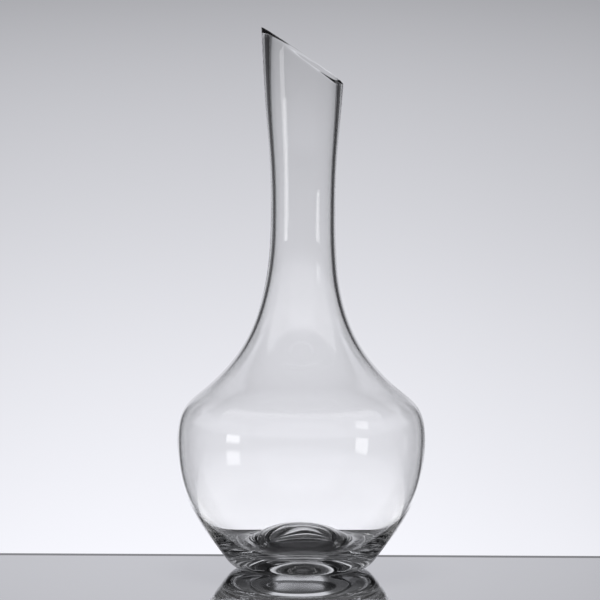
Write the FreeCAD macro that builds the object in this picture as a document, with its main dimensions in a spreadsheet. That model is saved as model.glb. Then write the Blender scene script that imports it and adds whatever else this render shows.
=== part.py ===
"""Wine decanter: one piece of clear blown glass.

Frame: +Z up, origin on the axis of the bowl, in the plane that the foot rests on. The mouth is cut at
a slant, with its tall side towards -X and its low side towards +X. All lengths are in millimetres.
"""

import FreeCAD, Part
import os

import Sketcher

ORIGIN = (-1, 1)
X_AXIS = -1
Z_AXIS = -2
CENTRE = 3

# Driving dimensions. The outside, the cavity and the hollow underneath are turned outlines: smooth
# curves drawn by a few control points, each with a radius from the axis and a level above the table.
SIZES = {
    # the outside, from the foot ring up to the mouth
    "foot_radius": 29.0,
    "sole_radius": 39.5,
    "heel_radius": 42.0,
    "heel_level": 5.5,
    "hull_radius": 69.5,
    "hull_level": 39.5,
    "belly_radius": 73.5,
    "belly_level": 91.0,
    "shoulder_radius": 58.0,
    "shoulder_level": 100.0,
    "flank_radius": 31.0,
    "flank_level": 126.5,
    "throat_radius": 19.0,
    "throat_level": 165.5,
    "neck_radius": 18.25,
    "neck_level": 208.0,
    "collar_radius": 19.0,
    "collar_level": 239.0,
    "flare_radius": 22.75,
    "flare_level": 273.5,
    "lip_radius": 24.5,
    "lip_level": 310.0,
    # the thickness of the wall, square to the outline
    "hull_wall": 2.4,
    "belly_wall": 1.7,
    "shoulder_wall": 1.8,
    "flank_wall": 2.2,
    "throat_wall": 2.5,
    "neck_wall": 2.5,
    "collar_wall": 2.3,
    "flare_wall": 3.0,
    "lip_wall": 4.4,
    # the inside of the thick base: a dome in the middle, and a trough round it
    "dome_top": 25.0,
    "dome_crown": 13.0,
    "dome_side": 24.0,
    "dome_side_level": 17.5,
    "skirt_radius": 31.0,
    "skirt_level": 13.0,
    "trough_radius": 41.0,
    "trough_level": 12.0,
    "bank_radius": 47.0,
    "bank_level": 16.5,
    # the hollow under the base, inside the ring that the decanter stands on
    "kick_up": 18.0,
    "kick_crown": 12.0,
    "kick_side": 19.0,
    "kick_side_level": 8.0,
    "ring_inner_radius": 24.0,
    # the mouth
    "mouth_slant": 34.0,
    "cut_reach": 32.0,
    "rim_round": 0.8,
}

# The control points of the outside, upwards. The base is solid up to the heel, and the wall starts above it.
BASE = ["foot", "sole", "heel"]
WALLED = ["hull", "belly", "shoulder", "flank", "throat", "neck", "collar", "flare", "lip"]
OUTSIDE = BASE + WALLED


def write_sheet(doc):
    """The spreadsheet that every outline is bound to."""
    sheet = doc.addObject("Spreadsheet::Sheet", "sizes")
    for row, (alias, value) in enumerate(SIZES.items(), start=1):
        sheet.set(f"A{row}", alias.replace("_", " "))
        sheet.set(f"B{row}", str(value))
        sheet.setAlias(f"B{row}", alias)
    doc.recompute()
    return sheet


def size(alias):
    return f"sizes.{alias}"


def outside_point(name):
    """The radius and level of a control point of the outside. The foot and the sole are at the table."""
    level = "0" if name in ("foot", "sole") else size(f"{name}_level")
    return size(f"{name}_radius"), level


def inside_point(name):
    """The control point of the cavity that stands off an outside one by the wall, square to the outline."""
    at = OUTSIDE.index(name)
    radius, level = outside_point(name)
    below = outside_point(OUTSIDE[at - 1])
    above = outside_point(OUTSIDE[min(at + 1, len(OUTSIDE) - 1)])
    out, up = f"({above[0]} - {below[0]})", f"({above[1]} - {below[1]})"
    share = f"{size(name + '_wall')} / hypot({out}; {up})"
    return f"{radius} - {share} * {up}", f"{level} + {share} * {out}"


def new_sketch(body, name):
    """A sketch on the body's XZ plane: its x is the radius, and its y the level."""
    sketch = body.newObject("Sketcher::SketchObject", name)
    plane = next(f for f in body.Origin.OriginFeatures if f.Role == "XZ_Plane")
    sketch.AttachmentSupport = [(plane, "")]
    sketch.MapMode = "FlatFace"
    return sketch


def value(sketch, expression):
    return float(sketch.evalExpression(expression))


def pin(sketch, geometry, point, across, up):
    """Ties a point of the sketch to its place. An expression of "0" puts the point on that axis."""
    for kind, expression, axis in (("DistanceX", across, Z_AXIS), ("DistanceY", up, X_AXIS)):
        if expression == "0":
            sketch.addConstraint(Sketcher.Constraint("PointOnObject", geometry, point, axis))
            continue
        amount = value(sketch, expression)
        index = sketch.addConstraint(Sketcher.Constraint(kind, *ORIGIN, geometry, point, amount))
        sketch.setExpression(f"Constraints[{index}]", expression)


def add_curve(sketch, points):
    """A smooth curve drawn by its control points, which are bound to the sheet."""
    poles = [FreeCAD.Vector(value(sketch, x), value(sketch, z), 0) for x, z in points]
    curve = Part.BSplineCurve()
    curve.buildFromPoles(poles, False, 3)
    index = sketch.addGeometry(curve, False)
    sketch.exposeInternalGeometry(index)
    for offset, (across, up) in enumerate(points, start=1):
        pin(sketch, index + offset, CENTRE, across, up)
    return index


def add_lines(sketch, curve, corners):
    """Straight lines from the end of a curve round to its start, through the corners given."""
    ends = [sketch.getPoint(curve, 2)]
    ends += [FreeCAD.Vector(value(sketch, x), value(sketch, z), 0) for x, z in corners]
    ends += [sketch.getPoint(curve, 1)]
    last = (curve, 2)
    for number, (start, end) in enumerate(zip(ends, ends[1:])):
        line = sketch.addGeometry(Part.LineSegment(start, end), False)
        sketch.addConstraint(Sketcher.Constraint("Coincident", line, 1, *last))
        if number < len(corners):
            pin(sketch, line, 2, *corners[number])
        last = (line, 2)
    sketch.addConstraint(Sketcher.Constraint("Coincident", *last, curve, 1))


def turn(body, kind, name, sketch):
    """A Revolution or a Groove of a sketch, once round the sketch's vertical axis."""
    feature = body.newObject(f"PartDesign::{kind}", name)
    feature.Profile = sketch
    feature.ReferenceAxis = (sketch, ["V_Axis"])
    feature.Angle = 360.0
    return feature


def less_glass(doc, body, feature, before):
    """Recomputes, and makes sure that a cut has taken glass away. Returns the volume that is left."""
    doc.recompute()
    after = feature.Shape.Volume
    if not 0 < after < before - 1:
        raise RuntimeError(f"{feature.Name} took nothing away: {before:.0f} to {after:.0f} mm3")
    body.Tip = feature
    return after


def blown_form(doc, body):
    """The outside of the decanter, as if it were solid glass up to the top of the mouth."""
    sketch = new_sketch(body, "outside_outline")
    curve = add_curve(sketch, [outside_point(name) for name in OUTSIDE])
    add_lines(sketch, curve, [("0", size("lip_level")), ("0", "0")])
    form = turn(body, "Revolution", "blown_form", sketch)
    doc.recompute()
    return form.Shape.Volume


def cavity(doc, body, before):
    """The room for the wine: a dome and a trough at the bottom, then the inside of the wall."""
    sketch = new_sketch(body, "cavity_outline")
    floor = [
        ("0", size("dome_top")),
        (size("dome_crown"), size("dome_top")),
        (size("dome_side"), size("dome_side_level")),
        (size("skirt_radius"), size("skirt_level")),
        (size("trough_radius"), size("trough_level")),
        (size("bank_radius"), size("bank_level")),
    ]
    curve = add_curve(sketch, floor + [inside_point(name) for name in WALLED])
    top = inside_point("lip")[1]
    add_lines(sketch, curve, [("0", top)])
    return less_glass(doc, body, turn(body, "Groove", "cavity", sketch), before)


def punt(doc, body, before):
    """The deep hollow under the dome. It leaves a flat ring, level with the table."""
    sketch = new_sketch(body, "punt_outline")
    points = [
        ("0", size("kick_up")),
        (size("kick_crown"), size("kick_up")),
        (size("kick_side"), size("kick_side_level")),
        (size("ring_inner_radius"), "0"),
    ]
    curve = add_curve(sketch, points)
    add_lines(sketch, curve, [("0", "0")])
    return less_glass(doc, body, turn(body, "Groove", "punt", sketch), before)


def mouth_cut(doc, body, before):
    """The slanted cut of the mouth, a three-cornered prism through the neck."""
    sketch = new_sketch(body, "mouth_outline")
    reach, lip, top = size("cut_reach"), size("lip_radius"), size("lip_level")
    drop = f"tan({size('mouth_slant')} * 1deg)"
    high = f"{top} + ({reach} - {lip}) * {drop}"
    low = f"{top} - ({reach} + {lip}) * {drop}"
    corners = [(-1, high), (1, low), (1, high)]
    places = [FreeCAD.Vector(side * value(sketch, reach), value(sketch, up), 0) for side, up in corners]
    for number, (side, up) in enumerate(corners):
        line = sketch.addGeometry(Part.LineSegment(places[number], places[(number + 1) % 3]), False)
        order = (*ORIGIN, line, 1) if side > 0 else (line, 1, *ORIGIN)
        across = sketch.addConstraint(Sketcher.Constraint("DistanceX", *order, value(sketch, reach)))
        sketch.setExpression(f"Constraints[{across}]", reach)
        level = sketch.addConstraint(Sketcher.Constraint("DistanceY", *ORIGIN, line, 1, value(sketch, up)))
        sketch.setExpression(f"Constraints[{level}]", up)
    for line in range(3):
        sketch.addConstraint(Sketcher.Constraint("Coincident", line, 2, (line + 1) % 3, 1))
    cut = body.newObject("PartDesign::Pocket", "mouth_cut")
    cut.Profile = sketch
    cut.Type = "ThroughAll"
    cut.Midplane = True
    return less_glass(doc, body, cut, before)


def rim_polish(doc, body):
    """The two edges of the cut rim, rounded as they are when it is ground and fire-polished."""
    cut = body.Tip
    flats = [face for face in cut.Shape.Faces if face.Surface.TypeId == "Part::GeomPlane"]
    rim = max(flats, key=lambda face: face.CenterOfMass.z)
    names = [
        f"Edge{number}"
        for number, edge in enumerate(cut.Shape.Edges, start=1)
        if any(edge.isSame(mine) for mine in rim.Edges)
    ]
    polish = body.newObject("PartDesign::Fillet", "rim_polish")
    polish.Base = (cut, names)
    polish.setExpression("Radius", size("rim_round"))
    doc.recompute()
    if len(polish.Shape.Faces) != len(cut.Shape.Faces) + 2:
        raise RuntimeError("rim_polish: the two edges of the rim are not both rounded")
    body.Tip = polish


def glass_body(doc):
    body = doc.addObject("PartDesign::Body", "glass_body")
    body.Label = "glass_body"
    volume = blown_form(doc, body)
    for step in (cavity, punt, mouth_cut):
        volume = step(doc, body, volume)
    rim_polish(doc, body)
    body.Placement = FreeCAD.Placement()
    return body


def check(doc, parts):
    """Stops before anything is written if an object failed or a part has no sound solid."""
    for thing in doc.Objects:
        if {"Invalid", "Error"} & set(thing.State):
            raise RuntimeError(f"{thing.Name}: {thing.State}")
    for part in parts:
        if part.Shape.isNull() or not part.Shape.isValid() or len(part.Shape.Solids) != 1:
            raise RuntimeError(f"{part.Label} is not one valid solid")


def main():
    os.makedirs("parts", exist_ok=True)
    doc = FreeCAD.newDocument("wine_decanter")
    write_sheet(doc)
    parts = [glass_body(doc)]
    doc.recompute()
    check(doc, parts)
    for part in parts:
        box = part.Shape.BoundBox
        part.Shape.exportStep(f"parts/{part.Label}.step")
        print(f"{part.Label}: {part.Shape.Volume / 1000:.1f} ml of glass, "
              f"{box.XLength:.1f} x {box.YLength:.1f} x {box.ZLength:.1f} mm")


main()
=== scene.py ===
"""Wine decanter in clear glass, standing on a polished table in front of a softly lit backdrop."""

import math

import bpy
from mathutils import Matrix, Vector

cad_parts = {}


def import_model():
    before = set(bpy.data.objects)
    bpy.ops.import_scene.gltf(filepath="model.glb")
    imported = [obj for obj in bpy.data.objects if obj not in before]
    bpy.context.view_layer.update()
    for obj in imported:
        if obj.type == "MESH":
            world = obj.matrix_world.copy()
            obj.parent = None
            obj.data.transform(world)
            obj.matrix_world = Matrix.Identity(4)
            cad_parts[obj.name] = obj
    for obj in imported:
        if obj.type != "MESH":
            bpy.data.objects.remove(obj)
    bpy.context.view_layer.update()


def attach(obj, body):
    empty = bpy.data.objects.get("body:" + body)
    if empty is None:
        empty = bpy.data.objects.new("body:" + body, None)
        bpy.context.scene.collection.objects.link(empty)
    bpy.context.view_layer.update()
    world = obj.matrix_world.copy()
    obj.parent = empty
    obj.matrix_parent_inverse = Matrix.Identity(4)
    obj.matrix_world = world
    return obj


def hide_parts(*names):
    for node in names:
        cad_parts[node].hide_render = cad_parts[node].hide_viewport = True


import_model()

MM = 0.001

# The glass. Control points of the outlines as (radius, level) in millimetres, the same as the CAD's.
OUTSIDE = [(29, 0), (39.5, 0), (42, 5.5), (69.5, 39.5), (73.5, 91), (58, 100),
           (31, 126.5), (19, 165.5), (18.25, 208), (19, 239), (22.75, 273.5), (24.5, 310)]
WALLS = [2.4, 1.7, 1.8, 2.2, 2.5, 2.5, 2.3, 3.0, 4.4]
FLOOR = [(0, 25), (13, 25), (24, 17.5), (31, 13), (41, 12), (47, 16.5)]
PUNT = [(0, 18), (12, 18), (19, 8), (24, 0)]
SLANT = math.radians(34)
LIP = OUTSIDE[-1]
RIM_ROUND = 0.8

# What a glass blown by hand does, in millimetres: its neck, its dome and the hollow underneath stand a little
# to one side, and its wall is slightly uneven.
NECK_LEAN = 0.45
DOME_LEAN = -1.2
PUNT_LEAN = 1.0
WAVE_OUT = 0.05
WAVE_IN = 0.10

# Where along the way, in millimetres of radius or level, the leaning and the waves fade in or out.
WAVE_FULL_RADIUS = 30
WAVE_FULL_LEVEL = 20
LEAN_RADIUS = 36
LEAN_TOP = 26
LEAN_FADE = 20
NECK_FROM = 150
NECK_FADE = 40

# The waves: one with two crests round the glass and a weaker one with three. Each twists as it rises, by a
# radian over that many millimetres.
TWO_CREST_TWIST = 31
THREE_CREST_TWIST = 17
THREE_CREST_SHARE = 0.6
THREE_CREST_START = 1.3

# The mesh: columns round the axis, and rows up each side of the wall. The rows near the mouth move with its
# slant, which is found by halving.
ROUND = 256
FIXED_ROWS = 220
FREE_ROWS = 60
FREE_FROM = 0.84
PUNT_ROWS = 40
CORNER_ROWS = 7
CORNER_CLEAR = 1.05
HALVINGS = 40

# The glass as a material. Its ripples and scuffs are in grains to the metre, its depths in metres.
GLASS_IOR = 1.5
ABSORB = 2.0
ABSORB_COLOR = (0.02, 0.06, 0.04, 1)
WEAR_LEVELS = (0.0001, 0.0006)
WEAR_ROUGH = 0.1
SCUFF_SCALE = 1500.0
RIPPLE_SCALE = 45.0
RIPPLE_DEPTH = 0.001
RIPPLE_STRENGTH = 0.04

# The camera, in metres, with its lens and sensor in millimetres and its roll in radians.
CAMERA_AWAY = 1.4
CAMERA_UP = 0.2217
LENS = 146.8
SENSOR = 36
CLIP = (0.05, 50)
AIM = (-0.0011, 0.0, 0.1543)
ROLL = math.radians(0.27)

# The table top: pale and polished, with a darker strip along its rear edge that mirrors less, painted shade
# where the table meets the backdrop.
TABLE_SIDE = 1.6
TABLE_FRONT = -3.0
TABLE_REAR = 0.050
TABLE_THICK = 0.03
TABLE_DROP = -0.0001
# The strip along the rear edge mirrors less than the top, as painted shade where the table meets the
# backdrop.
SHADE_STRIP_WIDTH = 0.008
TABLE_COLOR = (0.25, 0.25, 0.255, 1)
TABLE_GLOSS = 0.73
SHADE_STRIP_GLOSS = 0.3
GLOSS_BLUE = 1.01
TABLE_ROUGH = 0.02

# The range of Facing over which the table turns from matt to mirror, and how much it mirrors at either end.
MIRROR_FACING = (0.5, 0.88)
MIRROR_SHARE = (0.04, 1.0)

# The backdrop's place, in metres.
BACK = 0.75
BACK_SIDE = 1.2
BACK_LOW = -0.9
BACK_TOP = 1.2

# The studio's tones, as (place, brightness) stops, and the brightness at the top of the curves' scale.
# The backdrop has a tone for its height, and one for how far to the side it is, which fades out below.
# The room has a tone for the Z of the direction looked in, and one for its Y that another Z curve limits.
TONE_TOP = 4.0
TINT = (0.985, 0.99, 1.05)
WALL_TONES = [(-0.9, 0.6), (-0.3, 1.1), (-0.1, 0.95), (0.15, 0.72), (0.38, 0.43), (0.48, 0.1), (0.6, 0.03),
              (1.2, 0.03)]
SIDE_TONES = [(-1.2, 0.12), (-0.45, 0.1), (-0.35, 0.35), (-0.27, 0.97), (0.0, 1.0), (0.18, 0.95),
              (0.28, 0.88), (0.35, 0.3), (0.45, 0.07), (0.8, 0.08), (1.2, 0.1)]
# Where the painted shade at the backdrop's sides applies: from this height up, and not low down.
SIDE_SHADE_LIFT = [(-0.9, 1.0), (-0.5, 1.0), (-0.3, 0.0), (1.2, 0.0)]
FRONT_TONES = [(-1, 0.9), (-0.8, 0.9), (-0.5, 0.1), (-0.2, 0.0), (1, 0.0)]
GATE_TONES = [(-1, 1.0), (-0.25, 1.0), (-0.14, 0.1), (0.12, 0.1), (0.2, 0.7), (0.6, 0.7), (0.8, 0.1),
              (1, 0.0)]
LEVEL_TONES = [(-1.0, 0.05), (-0.1, 0.07), (0.1, 0.07), (0.2, 0.45), (0.4, 0.45), (0.6, 0.1), (0.7, 0.03),
               (1.0, 0.02)]

# The softbox on the left: degrees from the camera's side towards +X, metres, and brightness.
LEFT_AZIMUTH = -64.0
LEFT_AWAY = 1.2
LEFT_UP = 0.155
LEFT_SIZE = (0.3, 0.18)
LEFT_LIGHT = 2.7

# The overhead light, in metres and watts.
TOP_SIZE = 0.3
TOP_UP = 0.9
TOP_LIGHT = 34.0

# How often light bounces, so that the thick base isn't left black.
BOUNCES = 24
GLASS_BOUNCES = 20
MIRROR_BOUNCES = 12


def inner_poles():
    """Control points of the cavity: the floor's own, then the outside ones set in by the wall."""
    first = len(OUTSIDE) - len(WALLS)
    poles = list(FLOOR)
    for at, wall in enumerate(WALLS, start=first):
        below, above = OUTSIDE[at - 1], OUTSIDE[min(at + 1, len(OUTSIDE) - 1)]
        out, up = above[0] - below[0], above[1] - below[1]
        share = wall / math.hypot(out, up)
        poles.append((OUTSIDE[at][0] - share * up, OUTSIDE[at][1] + share * out))
    return poles


def curve_point(poles, at):
    """The point of a clamped cubic spline with even knots. at runs from 0 to 1."""
    spans = len(poles) - 3
    knots = [0.0] * 3 + [k / spans for k in range(spans + 1)] + [1.0] * 3
    span = min(3 + int(at * spans), len(poles) - 1)
    near = [Vector(poles[span - 3 + k]) for k in range(4)]
    for level in range(1, 4):
        for k in range(3, level - 1, -1):
            low, high = knots[span - 3 + k], knots[span + 1 + k - level]
            share = (at - low) / (high - low)
            near[k] = near[k - 1].lerp(near[k], share)
    return near[3]


def cut_level(radius, angle):
    """How high the slanted mouth is, at that place."""
    return LIP[1] - (LIP[0] + radius * math.cos(angle)) * math.tan(SLANT)


def cut_at(poles, angle):
    """Where along a curve the slanted mouth cuts it, by halving."""
    low, high = 0.5, 1.0
    for _ in range(HALVINGS):
        middle = (low + high) / 2
        radius, level = curve_point(poles, middle)
        low, high = (middle, high) if level < cut_level(radius, angle) else (low, middle)
    return low


def wall_rows(fixed, poles, end):
    """Points up a curve: the fixed ones to begin with, then spread evenly to where the mouth cuts it."""
    steps = [FREE_FROM + (end - FREE_FROM) * k / FREE_ROWS for k in range(FREE_ROWS + 1)]
    return fixed + [curve_point(poles, at) for at in steps]


def rounded(before, corner, after):
    """The points of a rounded corner."""
    start = corner + (before - corner).normalized() * RIM_ROUND
    end = corner + (after - corner).normalized() * RIM_ROUND
    shares = [k / (CORNER_ROWS - 1) for k in range(CORNER_ROWS)]
    return [start.lerp(corner, share).lerp(corner.lerp(end, share), share) for share in shares]


def clear_of(points, corner):
    """The points that stop short of the rounding of a corner."""
    return [p for p in points if (p - corner).length > RIM_ROUND * CORNER_CLEAR]


def eased(share):
    """A smooth step from 0 to 1."""
    share = min(max(share, 0.0), 1.0)
    return share * share * (3 - 2 * share)


def blown(radius, level, angle, wave, base_lean):
    """Where a point of the turned form ends up on the real glass. base_lean is how far its base leans."""
    uneven = wave * eased(radius / WAVE_FULL_RADIUS) * eased(level / WAVE_FULL_LEVEL)
    two_crests = math.sin(2 * angle + level / TWO_CREST_TWIST)
    three_crests = math.sin(3 * angle - level / THREE_CREST_TWIST + THREE_CREST_START)
    radius += uneven * (two_crests + THREE_CREST_SHARE * three_crests)
    near_base = (1 - eased(radius / LEAN_RADIUS)) * (1 - eased((level - LEAN_TOP) / LEAN_FADE))
    lean = NECK_LEAN * eased((level - NECK_FROM) / NECK_FADE) + base_lean * near_base
    return ((radius * math.cos(angle) + lean) * MM, radius * math.sin(angle) * MM, level * MM)


def glass_mesh(name):
    """The whole wall as one closed skin: out of the punt, up the outside, over the rim, down the inside."""
    inner = inner_poles()
    punt = [curve_point(PUNT, k / PUNT_ROWS) for k in range(1, PUNT_ROWS)]
    fixed_out = [curve_point(OUTSIDE, FREE_FROM * k / FIXED_ROWS) for k in range(FIXED_ROWS)]
    fixed_in = [curve_point(inner, FREE_FROM * k / FIXED_ROWS) for k in range(FIXED_ROWS)]
    columns = []
    for turn in range(ROUND):
        angle = 2 * math.pi * turn / ROUND
        up = wall_rows(fixed_out, OUTSIDE, cut_at(OUTSIDE, angle))
        down = wall_rows(fixed_in, inner, cut_at(inner, angle))
        lip_out, lip_in = up.pop(), down.pop()
        rim = rounded(up[-1], lip_out, lip_in) + rounded(lip_out, lip_in, down[-1])
        columns.append((clear_of(up, lip_out), rim, clear_of(down, lip_in)))
    n_up = min(len(up) for up, _, _ in columns)
    n_down = min(len(down) for _, _, down in columns)
    verts = []
    for turn, (up, rim, down) in enumerate(columns):
        angle = 2 * math.pi * turn / ROUND
        outer = punt + up[:n_up] + rim[:CORNER_ROWS]
        hollow = rim[CORNER_ROWS:] + down[1:n_down][::-1]
        verts += [blown(r, z, angle, WAVE_OUT, PUNT_LEAN) for r, z in outer]
        verts += [blown(r, z, angle, WAVE_IN, DOME_LEAN) for r, z in hollow]
    rows = len(outer) + len(hollow)
    faces = []
    bottom, top = len(verts), len(verts) + 1
    verts += [blown(0, PUNT[0][1], 0, 0, PUNT_LEAN), blown(0, FLOOR[0][1], 0, 0, DOME_LEAN)]
    for turn in range(ROUND):
        here, there = turn * rows, (turn + 1) % ROUND * rows
        faces += [(here + k, there + k, there + k + 1, here + k + 1) for k in range(rows - 1)]
        faces += [(here, bottom, there), (here + rows - 1, there + rows - 1, top)]
    mesh = bpy.data.meshes.new(name)
    mesh.from_pydata(verts, [], faces)
    mesh.validate()
    mesh.shade_smooth()
    return mesh


def new_object(name, data):
    """An object in the scene that shows the mesh, light or camera."""
    thing = bpy.data.objects.new(name, data)
    bpy.context.scene.collection.objects.link(thing)
    return thing


def smooth_step(nodes, links, value, source, target):
    """A value that eases from one target to the other while the source crosses its range."""
    step = nodes.new("ShaderNodeMapRange")
    step.interpolation_type = "SMOOTHSTEP"
    step.inputs["From Min"].default_value, step.inputs["From Max"].default_value = source
    step.inputs["To Min"].default_value, step.inputs["To Max"].default_value = target
    links.new(value, step.inputs["Value"])
    return step.outputs["Result"]


def tone_curve(nodes, links, value, stops):
    """A smooth curve through (value, tone) stops."""
    low, high = stops[0][0], stops[-1][0]
    curve = nodes.new("ShaderNodeFloatCurve")
    line = curve.mapping.curves[0]
    line.points[0].location = (0.0, stops[0][1] / TONE_TOP)
    line.points[1].location = (1.0, stops[-1][1] / TONE_TOP)
    for at, tone in stops[1:-1]:
        line.points.new((at - low) / (high - low), tone / TONE_TOP)
    for point in line.points:
        point.handle_type = "AUTO_CLAMPED"
    curve.mapping.extend = "HORIZONTAL"
    curve.mapping.update()
    scale = nodes.new("ShaderNodeMapRange")
    scale.inputs["From Min"].default_value = low
    scale.inputs["From Max"].default_value = high
    links.new(value, scale.inputs["Value"])
    links.new(scale.outputs["Result"], curve.inputs["Value"])
    return calculate(nodes, links, "MULTIPLY", curve.outputs["Value"], TONE_TOP)


def calculate(nodes, links, operation, *values):
    """What a Math node makes of sockets and plain numbers."""
    node = nodes.new("ShaderNodeMath")
    node.operation = operation
    for socket, value in zip(node.inputs, values):
        if isinstance(value, (int, float)):
            socket.default_value = value
        else:
            links.new(value, socket)
    return node.outputs[0]


def tinted(nodes, links, tone):
    """The light's own slightly cool colour, as bright as the tone says."""
    tint = nodes.new("ShaderNodeVectorMath")
    tint.operation = "SCALE"
    tint.inputs[0].default_value = TINT
    links.new(tone, tint.inputs["Scale"])
    return tint.outputs["Vector"]


def noise(nodes, links, place, scale):
    """Smooth noise between 0 and 1, with that many grains to the metre."""
    texture = nodes.new("ShaderNodeTexNoise")
    texture.inputs["Scale"].default_value = scale
    texture.inputs["Detail"].default_value = 1.0
    links.new(place, texture.inputs["Vector"])
    return texture.outputs["Fac"]


def glass_material():
    """Clear and faintly rippled, a little green in its depth, and worn dull on the ring that it stands on."""
    material = bpy.data.materials.new("clear_glass")
    material.use_nodes = True
    nodes, links = material.node_tree.nodes, material.node_tree.links
    shader = nodes["Principled BSDF"]
    shader.inputs["Base Color"].default_value = (1, 1, 1, 1)
    shader.inputs["IOR"].default_value = GLASS_IOR
    shader.inputs["Transmission Weight"].default_value = 1.0
    place = nodes.new("ShaderNodeTexCoord")
    split = nodes.new("ShaderNodeSeparateXYZ")
    links.new(place.outputs["Object"], split.inputs["Vector"])
    worn = smooth_step(nodes, links, split.outputs["Z"], WEAR_LEVELS, (WEAR_ROUGH, 0.0))
    scuffs = noise(nodes, links, place.outputs["Object"], SCUFF_SCALE)
    links.new(calculate(nodes, links, "MULTIPLY", worn, scuffs), shader.inputs["Roughness"])
    bump = nodes.new("ShaderNodeBump")
    bump.inputs["Strength"].default_value = RIPPLE_STRENGTH
    bump.inputs["Distance"].default_value = RIPPLE_DEPTH
    links.new(noise(nodes, links, place.outputs["Object"], RIPPLE_SCALE), bump.inputs["Height"])
    links.new(bump.outputs["Normal"], shader.inputs["Normal"])
    soak = nodes.new("ShaderNodeVolumeAbsorption")
    soak.inputs["Color"].default_value = ABSORB_COLOR
    soak.inputs["Density"].default_value = ABSORB
    links.new(soak.outputs["Volume"], nodes["Material Output"].inputs["Volume"])
    return material


def table_material(name, gloss_tone):
    """Polished and pale: a mirror at a grazing angle, and a matt surface where it is looked down on."""
    material = bpy.data.materials.new(name)
    material.use_nodes = True
    nodes, links = material.node_tree.nodes, material.node_tree.links
    nodes.clear()
    out = nodes.new("ShaderNodeOutputMaterial")
    mix = nodes.new("ShaderNodeMixShader")
    pale = nodes.new("ShaderNodeBsdfDiffuse")
    pale.inputs["Color"].default_value = TABLE_COLOR
    gloss = nodes.new("ShaderNodeBsdfGlossy")
    gloss.inputs["Color"].default_value = (gloss_tone, gloss_tone, gloss_tone * GLOSS_BLUE, 1)
    gloss.inputs["Roughness"].default_value = TABLE_ROUGH
    layer = nodes.new("ShaderNodeLayerWeight")
    mirror = smooth_step(nodes, links, layer.outputs["Facing"], MIRROR_FACING, MIRROR_SHARE)
    links.new(mirror, mix.inputs["Fac"])
    links.new(pale.outputs["BSDF"], mix.inputs[1])
    links.new(gloss.outputs["BSDF"], mix.inputs[2])
    links.new(mix.outputs["Shader"], out.inputs["Surface"])
    return material


def slab(name, front, rear, material):
    """A flat board with its top just under the foot of the glass."""
    x, high, low = TABLE_SIDE, TABLE_DROP, TABLE_DROP - TABLE_THICK
    corners = ((-x, front), (x, front), (x, rear), (-x, rear))
    verts = [(across, along, level) for level in (low, high) for across, along in corners]
    faces = [(3, 2, 1, 0), (4, 5, 6, 7), (0, 1, 5, 4), (1, 2, 6, 5), (2, 3, 7, 6), (3, 0, 4, 7)]
    mesh = bpy.data.meshes.new(name)
    mesh.from_pydata(verts, [], faces)
    mesh.materials.append(material)
    new_object(name, mesh)


def table():
    """The top, and the darker strip along its rear edge: painted shade where the table meets the backdrop."""
    slab("table_top", TABLE_FRONT, TABLE_REAR - SHADE_STRIP_WIDTH, table_material("table_top", TABLE_GLOSS))
    slab("table_edge_shade", TABLE_REAR - SHADE_STRIP_WIDTH, TABLE_REAR, table_material("table_edge_shade", SHADE_STRIP_GLOSS))


def backdrop():
    """The glowing wall behind: its glow is painted less bright the higher it is and painted darker at its
    sides, as painted shade.

    Only its front glows. From behind it is clear.
    """
    x, y, low, high = BACK_SIDE, BACK, BACK_LOW, BACK_TOP
    mesh = bpy.data.meshes.new("backdrop")
    mesh.from_pydata([(-x, y, low), (x, y, low), (x, y, high), (-x, y, high)], [], [(0, 1, 2, 3)])
    material = bpy.data.materials.new("backdrop")
    material.use_nodes = True
    nodes, links = material.node_tree.nodes, material.node_tree.links
    nodes.clear()
    out = nodes.new("ShaderNodeOutputMaterial")
    glow = nodes.new("ShaderNodeEmission")
    clear = nodes.new("ShaderNodeBsdfTransparent")
    mix = nodes.new("ShaderNodeMixShader")
    where = nodes.new("ShaderNodeNewGeometry")
    split = nodes.new("ShaderNodeSeparateXYZ")
    links.new(where.outputs["Position"], split.inputs["Vector"])
    up = tone_curve(nodes, links, split.outputs["Z"], WALL_TONES)
    across = tone_curve(nodes, links, split.outputs["X"], SIDE_TONES)
    # The backdrop's sides are painted darker, as painted shade, except low down.
    side_shade_lifted = tone_curve(nodes, links, split.outputs["Z"], SIDE_SHADE_LIFT)
    shade = calculate(nodes, links, "MAXIMUM", across, side_shade_lifted)
    tone = calculate(nodes, links, "MULTIPLY", up, shade)
    links.new(tinted(nodes, links, tone), glow.inputs["Color"])
    links.new(where.outputs["Backfacing"], mix.inputs["Fac"])
    links.new(glow.outputs["Emission"], mix.inputs[1])
    links.new(clear.outputs["BSDF"], mix.inputs[2])
    links.new(mix.outputs["Shader"], out.inputs["Surface"])
    mesh.materials.append(material)
    new_object("backdrop", mesh)


def world():
    """The room: its tone changes with the height that is looked up to, and it is paler behind the camera."""
    scene_world = bpy.data.worlds.new("studio")
    bpy.context.scene.world = scene_world
    scene_world.use_nodes = True
    nodes, links = scene_world.node_tree.nodes, scene_world.node_tree.links
    nodes.clear()
    out = nodes.new("ShaderNodeOutputWorld")
    background = nodes.new("ShaderNodeBackground")
    place = nodes.new("ShaderNodeTexCoord")
    split = nodes.new("ShaderNodeSeparateXYZ")
    links.new(place.outputs["Generated"], split.inputs["Vector"])
    level = tone_curve(nodes, links, split.outputs["Z"], LEVEL_TONES)
    front = tone_curve(nodes, links, split.outputs["Y"], FRONT_TONES)
    gate = tone_curve(nodes, links, split.outputs["Z"], GATE_TONES)
    gated = calculate(nodes, links, "MULTIPLY", front, gate)
    tone = calculate(nodes, links, "MAXIMUM", level, gated)
    links.new(tinted(nodes, links, tone), background.inputs["Color"])
    links.new(background.outputs["Background"], out.inputs["Surface"])


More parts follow.
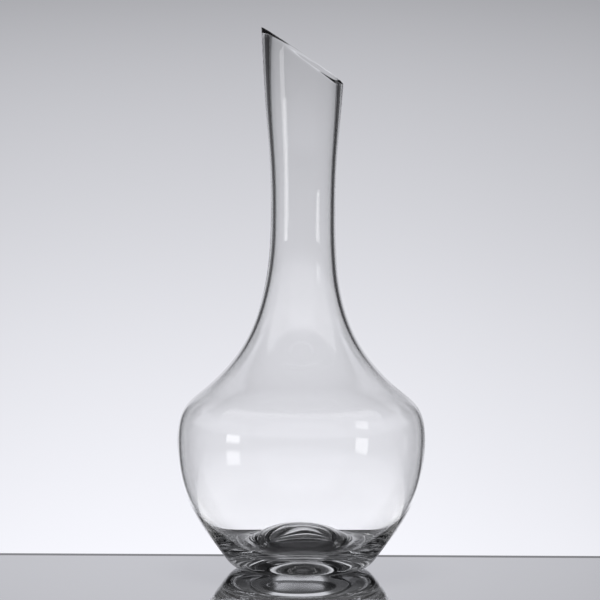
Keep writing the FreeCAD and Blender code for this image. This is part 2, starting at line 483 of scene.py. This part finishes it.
def softbox(name, azimuth, away, up, box, brightness):
    """A rectangular light, level with what it faces, that the camera doesn't see itself."""
    angle = math.radians(azimuth)
    where = Vector((away * math.sin(angle), -away * math.cos(angle), up))
    light = bpy.data.lights.new(name, "AREA")
    light.shape = "RECTANGLE"
    light.size, light.size_y = box
    light.energy = brightness * box[0] * box[1] * math.pi
    lamp = new_object(name, light)
    lamp.location = where
    lamp.rotation_euler = (Vector((0, 0, up)) - where).to_track_quat("-Z", "Y").to_euler()
    lamp.visible_camera = False


def overhead():
    """The soft light from above that falls on the table. The glass doesn't mirror it."""
    light = bpy.data.lights.new("overhead", "AREA")
    light.shape = "SQUARE"
    light.size = TOP_SIZE
    light.energy = TOP_LIGHT
    lamp = new_object("overhead", light)
    lamp.location = (0, 0, TOP_UP)
    lamp.visible_camera = False
    lamp.visible_glossy = False
    lamp.visible_transmission = False


def lights():
    """The softbox that the glass mirrors, and the light on the table."""
    softbox("left_softbox", LEFT_AZIMUTH, LEFT_AWAY, LEFT_UP, LEFT_SIZE, LEFT_LIGHT)
    overhead()


def camera():
    """A long lens a little above the middle of the glass, rolled very slightly."""
    data = bpy.data.cameras.new("camera")
    data.lens = LENS
    data.sensor_width = SENSOR
    data.clip_start, data.clip_end = CLIP
    eye = new_object("camera", data)
    eye.location = (0, -CAMERA_AWAY, CAMERA_UP)
    eye.rotation_euler = (Vector(AIM) - eye.location).to_track_quat("-Z", "Y").to_euler()
    eye.rotation_euler.rotate_axis("Z", ROLL)
    bpy.context.scene.camera = eye


def decanter():
    """The one piece of glass, in place of the CAD's."""
    mesh = glass_mesh("decanter_glass")
    mesh.materials.append(glass_material())
    glass = new_object("decanter_glass", mesh)
    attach(glass, "root")
    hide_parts("glass_body")


decanter()
table()
backdrop()
world()
lights()
camera()

scene = bpy.context.scene
scene.view_settings.view_transform = "Standard"
scene.cycles.max_bounces = BOUNCES
scene.cycles.transmission_bounces = GLASS_BOUNCES
scene.cycles.glossy_bounces = MIRROR_BOUNCES
scene.cycles.use_denoising = True
